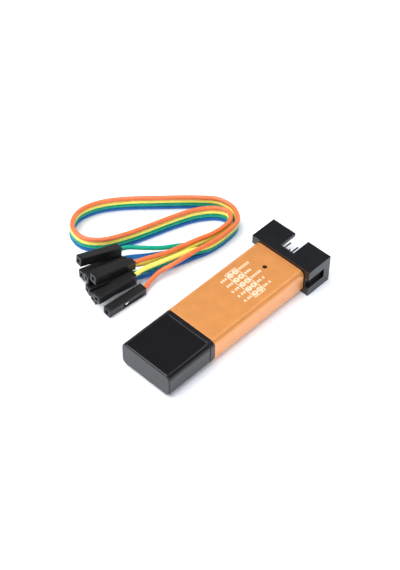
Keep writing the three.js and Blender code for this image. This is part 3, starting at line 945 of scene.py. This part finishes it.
def gull_leg(bm, root, way, width, reach):
    """A leg from the side of a body, down and out to its foot."""
    x, y = root
    out, across = Vector((way[0], way[1], 0)), Vector((-way[1], way[0], 0)) * width / 2
    low, high, thick = PART_Z, PART_Z + 0.5, 0.14
    line = [
        (-0.1, high), (reach * 0.3, high), (reach * 0.45, high - 0.1), (reach * 0.55, low + 0.1),
        (reach * 0.7, low), (reach, low),
    ]
    rings = []
    for along, z in line:
        place = Vector((x, y, z)) + out * along
        rise = Vector((0, 0, thick))
        rings.append([place - across, place + across, place + across + rise, place - across + rise])
    loft(bm, rings, ends=(True, True), material=1)


def chip(name, body, legs, sides):
    """A moulded package with a drafted body, a pin 1 dot and gull legs."""
    x, y = mid(name, "X"), mid(name, "Y")
    bottom, waist, top = (PART_Z + 0.1 + body[2] * share for share in (0, 0.5, 1))
    drafts = (
        (bottom, 0.16), (waist - 0.05, 0.02), (waist + 0.05, 0.02), (top - 0.05, 0.14), (top, 0.19),
    )
    rings = []
    for z, inset in drafts:
        outline = rounded(body[0] - 2 * inset, body[1] - 2 * inset, 0.12, 3)
        rings.append([(x + u, y + v, z) for u, v in outline])
    bm = bmesh.new()
    loft(bm, rings, ends=(True, True))
    dot = (x - body[0] / 2 + 0.22 * body[0], y - body[1] / 2 + 0.22 * body[1])
    lathe_z(bm, [(0.06 * body[0], top - 0.01), (0.06 * body[0], top + 0.004)], dot, 20, 2)
    for way in sides:
        reach = body[0] / 2 if way[0] else body[1] / 2
        for number in range(legs["count"]):
            along = (number - (legs["count"] - 1) / 2) * legs["pitch"]
            root = (
                x + way[0] * reach + abs(way[1]) * along,
                y + way[1] * reach + abs(way[0]) * along,
            )
            gull_leg(bm, root, way, legs["width"], legs["span"])
    fitted(name, bm, "chip_body", CHIP_BLACK, TIN, GLAZE)


def chip_part(name, slot, end, *materials):
    """A two-ended chip: a body between two plated caps, glazed on top if a third material is given."""
    (x0, x1), (y0, y1), (bottom, top) = (span(name, axis) for axis in "XYZ")
    low, high = (x0 + end * 0.8, y0 + 0.03, bottom + 0.02), (x1 - end * 0.8, y1 - 0.03, top - 0.03)
    bm = bmesh.new()
    soft_box(bm, low, high, 0.03, 1)
    for x in ((x0, x0 + end), (x1 - end, x1)):
        soft_box(bm, (x[0], y0, bottom), (x[1], y1, top), 0.07, 2, 1)
    if len(materials) > 2:
        low, high = (x0 + end + 0.04, y0 + 0.06, top - 0.04), (x1 - end - 0.04, y1 - 0.06, top - 0.01)
        soft_box(bm, low, high, 0.01, 1, 2)
    fitted(name, bm, slot, *materials)


def build_crystal():
    """A can on its base, with a lip between them."""
    (x0, x1), (y0, y1), (bottom, top) = (span("crystal", axis) for axis in "XYZ")
    x, y = mid("crystal", "X"), mid("crystal", "Y")
    lip = 0.08
    bm = bmesh.new()
    soft_box(bm, (x0, y0, bottom), (x1, y1, bottom + 0.55), 0.12, 2, 1)
    soft_box(bm, (x0 + lip, y0 + lip, bottom + 0.5), (x1 - lip, y1 - lip, bottom + 0.72), 0.05, 1, 0)
    rings = []
    for z, inset in ((bottom + 0.7, 0.25), (bottom + 1, 0.25), (bottom + 1.08, 0.3), (top, 0.4)):
        outline = rounded(x1 - x0 - 2 * inset, y1 - y0 - 2 * inset, 0.4, 5)
        rings.append([(x + u, y + v, z) for u, v in outline])
    loft(bm, rings, ends=(True, True))
    fitted("crystal", bm, "crystal_can", STEEL, CERAMIC)


def build_led():
    """A clear lens on a white base between two plated ends."""
    x, y = LED_PLACE
    (x0, x1), (y0, y1) = span("status_led", "X"), span("status_led", "Y")
    base, end, lens = 0.3, 0.4, 1.2
    bm = bmesh.new()
    low, high = (x0 + 0.05, y0 + 0.025, PART_Z + 0.02), (x1 - 0.05, y1 - 0.025, PART_Z + base)
    soft_box(bm, low, high, 0.03, 1, 1)
    for ends in ((x0, x0 + end), (x1 - end, x1)):
        soft_box(bm, (ends[0], y0, PART_Z), (ends[1], y1, PART_Z + base + 0.04), 0.04, 1, 2)
    rings = []
    for rise, inset in ((base, 0), (0.7, 0.06), (0.78, 0.12), (0.8, 0.2)):
        outline = rounded(lens - 2 * inset, lens - 2 * inset, 0.2, 4)
        rings.append([(x + u, y + v, PART_Z + rise) for u, v in outline])
    loft(bm, rings, ends=(True, True))
    fitted("status_led", bm, "led_lens", LENS_CLEAR, WHITE_PLASTIC, TIN)


def build_parts():
    fine_legs = {"pitch": 0.8, "count": 8, "width": 0.36, "span": 1}
    chip("microcontroller", (7, 7, 1.3), fine_legs, ((1, 0), (-1, 0), (0, 1), (0, -1)))
    broad_legs = {"pitch": 0.95, "count": 3, "width": 0.4, "span": 0.7}
    chip("voltage_regulator", (2.9, 1.6, 1.1), broad_legs, ((0, 1), (0, -1)))
    build_crystal()
    for name in ("capacitor_input", "capacitor_output", "capacitor_bypass"):
        chip_part(name, "ceramic", 0.42, CERAMIC, TIN)
    for name in ("resistor_data_1", "resistor_data_2", "resistor_led"):
        chip_part(name, "resistor_body", 0.32, ALUMINA, TIN, GLAZE)
    chip_part("resettable_fuse", "fuse_body", 0.5, FUSE_GREEN, TIN)
    build_led()


build_board()
build_parts()

# ---------------------------------------------------------------- the printed pin chart

CHART = {"x": (5.3, 9.1), "y": (-5.3, 5.6), "columns": 5, "line": 0.24, "disc": 0.84}
DISC_SHARES = (0.26, 0.74)
DIGIT = {"size": 1.3, "bold": 0.02, "two_wide": 0.75}
INK_BOTTOM = TOP_Z - 0.01
INK_TOP = TOP_Z + 0.012
DIGIT_TOP = INK_TOP + 0.006
LABEL_BLOCKS = ((5, 3, 5, 4, 4), (3, 3, 4, 4, 4))
BLOCK = {"pitch": 0.78, "length": 0.52, "half": 0.38, "gap": 0.5, "dot": 0.2, "dot_high": 0.22}


def ink_bar(bm, low, high):
    soft_box(bm, (*low, INK_BOTTOM), (*high, INK_TOP), 0.006, 1)


def ink_disc(bm, centre, radius):
    lathe_z(bm, [(radius, INK_BOTTOM), (radius, INK_TOP)], centre, 36)


def digit_mesh(text):
    """A numeral as a thin solid that stands just above its disc."""
    curve = bpy.data.curves.new("digit", "FONT")
    curve.body = text
    curve.size = DIGIT["size"]
    curve.align_x = "CENTER"
    curve.align_y = "CENTER"
    curve.extrude = (DIGIT_TOP - INK_BOTTOM) / 2
    curve.offset = DIGIT["bold"]
    curve.resolution_u = 4
    holder = bpy.data.objects.new("digit", curve)
    bpy.context.scene.collection.objects.link(holder)
    bpy.context.view_layer.update()
    graph = bpy.context.evaluated_depsgraph_get()
    mesh = bpy.data.meshes.new_from_object(holder.evaluated_get(graph), depsgraph=graph)
    bpy.data.objects.remove(holder)
    return mesh


def label_blocks(bm, y, start, way, count):
    """A row of blocks that stands for a printed label. A row of four has a dot before its last block."""
    x = start
    for number in range(count):
        dot = count == 4 and number == 2
        length = BLOCK["dot"] if dot else BLOCK["length"]
        low = y - BLOCK["half"]
        high = low + BLOCK["dot_high"] if dot else y + BLOCK["half"]
        along = sorted((x, x + way * length))
        ink_bar(bm, (along[0], low), (along[1], high))
        x += way * (length + BLOCK["pitch"] - BLOCK["length"])


def build_chart():
    bm = bmesh.new()
    digits = bmesh.new()
    (x0, x1), (y0, y1), half = CHART["x"], CHART["y"], CHART["line"] / 2
    for x in (x0, x1):
        ink_bar(bm, (x - half, y0 - half), (x + half, y1 + half))
    for y in (y0, y1):
        ink_bar(bm, (x0 + half, y - half), (x1 - half, y + half))
    step = (y1 - y0) / CHART["columns"]
    number = 0
    for column in range(CHART["columns"]):
        y = y1 - step * (column + 0.5)
        for share in DISC_SHARES:
            x = x0 + (x1 - x0) * share
            number += 1
            ink_disc(bm, (x, y), CHART["disc"])
            part = bmesh.new()
            part.from_mesh(digit_mesh(str(number)))
            narrow = DIGIT["two_wide"] if number > 9 else 1
            part.transform(Matrix.Diagonal((narrow, 1, 1, 1)))
            merge(digits, part, Matrix.Translation((x, y, (DIGIT_TOP + INK_BOTTOM) / 2)))
        label_blocks(bm, y, x1 + BLOCK["gap"], 1, LABEL_BLOCKS[0][column])
        label_blocks(bm, y, x0 - BLOCK["gap"], -1, LABEL_BLOCKS[1][column])
    for name, made, ink in (("pin_chart_print", bm, INK), ("pin_chart_digits", digits, DIGIT_INK)):
        chart = piece(name, mesh_of(made, name), "programmer", [], "anodised_case", ink)
        for polygon in chart.data.polygons:
            polygon.use_smooth = False


build_chart()

# ---------------------------------------------------------------- studio

# Half the side of the floor, in metres.
FLOOR_HALF = 4
# Each softbox: its place, its size and its power, in metres and watts.
SOFTBOXES = {
    "overhead": ((-0.3, 0.2, 0.9), (1.0, 1.0), 15.5),
    "front": ((-0.4, -0.9, 0.5), (0.9, 0.6), 2.7),
    "side": ((0.9, 0, 0.4), (0.9, 0.5), 2.5),
    "edge": ((0.55, -0.16, 0.82), (0.45, 0.25), 0.6),
}
# The sky's colour from the horizon up: a height between 0 and 1, and the colour there.
SKY = ((0.0, (1.1, 1.15, 1.22, 1)), (0.5, (0.06, 0.06, 0.065, 1)))


def build_floor():
    """A pale floor that glows a little, as a light table does, so that shadows stay soft."""
    bm = bmesh.new()
    bmesh.ops.create_grid(bm, x_segments=1, y_segments=1, size=FLOOR_HALF)
    mesh = bpy.data.meshes.new("studio_floor")
    bm.to_mesh(mesh)
    bm.free()
    made = bpy.data.materials.new("studio floor")
    made.use_nodes = True
    shader = made.node_tree.nodes["Principled BSDF"]
    shader.inputs["Base Color"].default_value = (0.90, 0.93, 0.985, 1)
    shader.inputs["Roughness"].default_value = 0.7
    shader.inputs["Specular IOR Level"].default_value = 0.2
    shader.inputs["Emission Color"].default_value = (0.88, 0.93, 1, 1)
    shader.inputs["Emission Strength"].default_value = 0.15
    mesh.materials.append(made)
    loose(mesh, "studio_floor")


def build_softbox(name, place, size, power):
    """A rectangular light that faces the object."""
    data = bpy.data.lights.new(name, "AREA")
    data.shape = "RECTANGLE"
    data.size, data.size_y = size
    data.energy = power
    light = bpy.data.objects.new(name, data)
    light.location = place
    light.rotation_mode = "QUATERNION"
    light.rotation_quaternion = (-Vector(place)).to_track_quat("-Z", "Y")
    bpy.context.scene.collection.objects.link(light)


def build_sky():
    """Bright at the horizon and dark overhead, so that upright faces read pale and flat tops dark."""
    world = bpy.data.worlds.new("studio")
    world.use_nodes = True
    bpy.context.scene.world = world
    nodes, links = world.node_tree.nodes, world.node_tree.links
    place = nodes.new("ShaderNodeTexCoord")
    split = nodes.new("ShaderNodeSeparateXYZ")
    links.new(place.outputs["Generated"], split.inputs["Vector"])
    ramp = nodes.new("ShaderNodeValToRGB")
    for stop, (height, colour) in zip(ramp.color_ramp.elements, SKY):
        stop.position = height
        stop.color = colour
    links.new(split.outputs["Z"], ramp.inputs["Fac"])
    links.new(ramp.outputs["Color"], nodes["Background"].inputs["Color"])


build_floor()
for light_name, settings in SOFTBOXES.items():
    build_softbox(light_name, *settings)
build_sky()
bpy.context.scene.view_settings.view_transform = "Standard"
